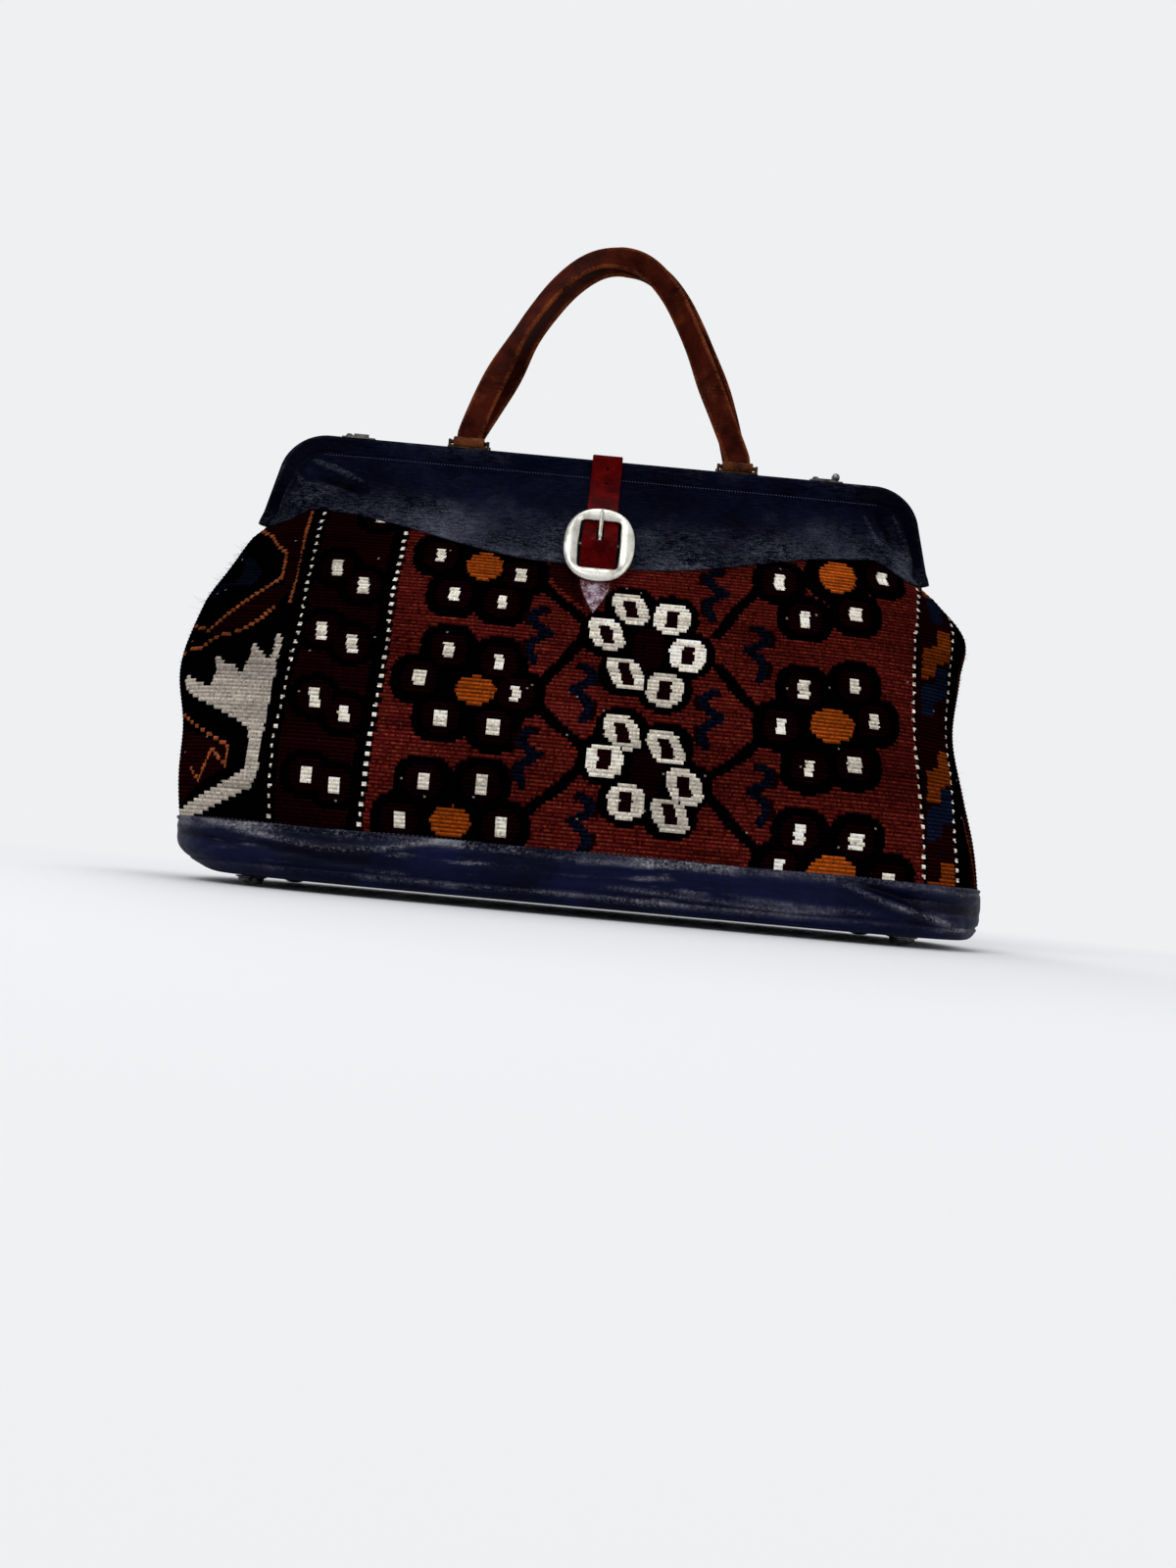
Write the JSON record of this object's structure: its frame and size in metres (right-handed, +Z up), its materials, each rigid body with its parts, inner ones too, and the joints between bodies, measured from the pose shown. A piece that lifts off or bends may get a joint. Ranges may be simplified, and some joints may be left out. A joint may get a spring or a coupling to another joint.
{
  "type": "doctor bag",
  "caption": "Soft-sided doctor bag with a woven tub, leather base on dome feet, hinged top frame, strap handles, turn catches and a buckled closing strap.",
  "frame": {"origin": "bottom centre of the bag's bounding box: the dome feet's flat tips stand on Z = 0", "axes": "+X along the width to the viewer's right, -Y to the front with the buckle, +Z up"},
  "size_m": [0.607, 0.2097, 0.5277],
  "materials": {
    "base_card": "plain board",
    "base_leather": "worn smooth leather",
    "bright_metal": "polished plating",
    "grey_steel": "dull",
    "handle_leather": "waxed, worn edges",
    "kilim_black": "flat woven wool",
    "kilim_cream": "flat woven wool",
    "kilim_maroon": "flat woven wool",
    "kilim_orange": "flat woven wool",
    "kilim_red": "flat woven wool",
    "lining_cloth": "plain cloth",
    "navy_leather": "matt, suede-like",
    "strap_leather": "waxed, worn"
  },
  "bodies": {
    "bag_body": {"base_board": "base_card", "base_leather": "base_leather", "buckle_chape": "strap_leather", "front_foot_left": "bright_metal", "front_foot_right": "bright_metal", "kilim_front_panel": "kilim_red", "kilim_rear_panel": "kilim_red", "left_frame_pivot": "grey_steel", "lining": "lining_cloth", "print_left_band": "kilim_maroon", "print_left_field": "kilim_black", "print_lower_rings": "kilim_cream", "print_middle_field": "kilim_black", "print_rear_left": "kilim_maroon", "print_rear_middle": "kilim_black", "print_rear_right": "kilim_maroon", "print_right_border": "kilim_orange", "print_right_edge": "kilim_maroon", "print_rosette_1": "kilim_maroon", "print_rosette_2": "kilim_maroon", "print_rosette_3": "kilim_maroon", "print_rosette_4": "kilim_maroon", "print_rosette_5": "kilim_maroon", "print_rosette_6": "kilim_maroon", "print_upper_rings": "kilim_cream", "rear_foot_left": "bright_metal", "rear_foot_right": "bright_metal", "right_frame_pivot": "grey_steel"},
    "front_frame": {"front_frame_rail": "navy_leather", "front_yoke": "navy_leather", "left_catch_plate": "grey_steel", "right_catch_plate": "grey_steel", "front_handle_staple_left": "grey_steel", "front_handle_staple_right": "grey_steel"},
    "rear_frame": {"rear_frame_rail": "navy_leather", "rear_yoke": "navy_leather", "closure_strap": "strap_leather", "left_catch_keeper": "grey_steel", "right_catch_keeper": "grey_steel", "rear_handle_staple_left": "grey_steel", "rear_handle_staple_right": "grey_steel"},
    "front_handle": {"front_handle": "handle_leather"},
    "rear_handle": {"rear_handle": "handle_leather"},
    "left_lever": {"left_catch_lever": "grey_steel"},
    "right_lever": {"right_catch_lever": "bright_metal"},
    "buckle": {"buckle_frame": "bright_metal"},
    "prong": {"buckle_prong": "bright_metal"}
  },
  "joints": [
    {"name": "front_frame_hinge", "type": "hinge", "parent": "bag_body", "child": "front_frame", "pos_m": [-0.0035, 0, 0.28], "axis": [1, 0, 0], "range_deg": [0, 42], "deforming": ["front_yoke"]},
    {"name": "rear_frame_hinge", "type": "hinge", "parent": "bag_body", "child": "rear_frame", "pos_m": [-0.0035, 0, 0.28], "axis": [1, 0, 0], "range_deg": [-42, 0], "deforming": ["rear_yoke", "closure_strap"]},
    {"name": "front_handle_hinge", "type": "hinge", "parent": "front_frame", "child": "front_handle", "pos_m": [-0.0035, -0.006, 0.358], "axis": [1, 0, 0], "range_deg": [0, 100]},
    {"name": "rear_handle_hinge", "type": "hinge", "parent": "rear_frame", "child": "rear_handle", "pos_m": [-0.0035, 0.006, 0.358], "axis": [1, 0, 0], "range_deg": [-100, 0]},
    {"name": "left_lever_turn", "type": "hinge", "parent": "front_frame", "child": "left_lever", "pos_m": [-0.2035, -0.006, 0.3536], "axis": [0, 0, 1], "range_deg": [0, 90]},
    {"name": "right_lever_turn", "type": "hinge", "parent": "front_frame", "child": "right_lever", "pos_m": [0.1645, -0.006, 0.3536], "axis": [0, 0, 1], "range_deg": [0, 90]},
    {"name": "buckle_tilt", "type": "hinge", "parent": "bag_body", "child": "buckle", "pos_m": [0.0005, -0.06489, 0.26915], "axis": [1, 0, 0], "range_deg": [0, 6]},
    {"name": "prong_turn", "type": "hinge", "parent": "buckle", "child": "prong", "pos_m": [0.0005, -0.06489, 0.26915], "axis": [1, 0, 0], "range_deg": [0, 140]}
  ],
  "couplings": [
    {"joint": "rear_frame_hinge", "follows": "front_frame_hinge", "ratio": -1}
  ]
}
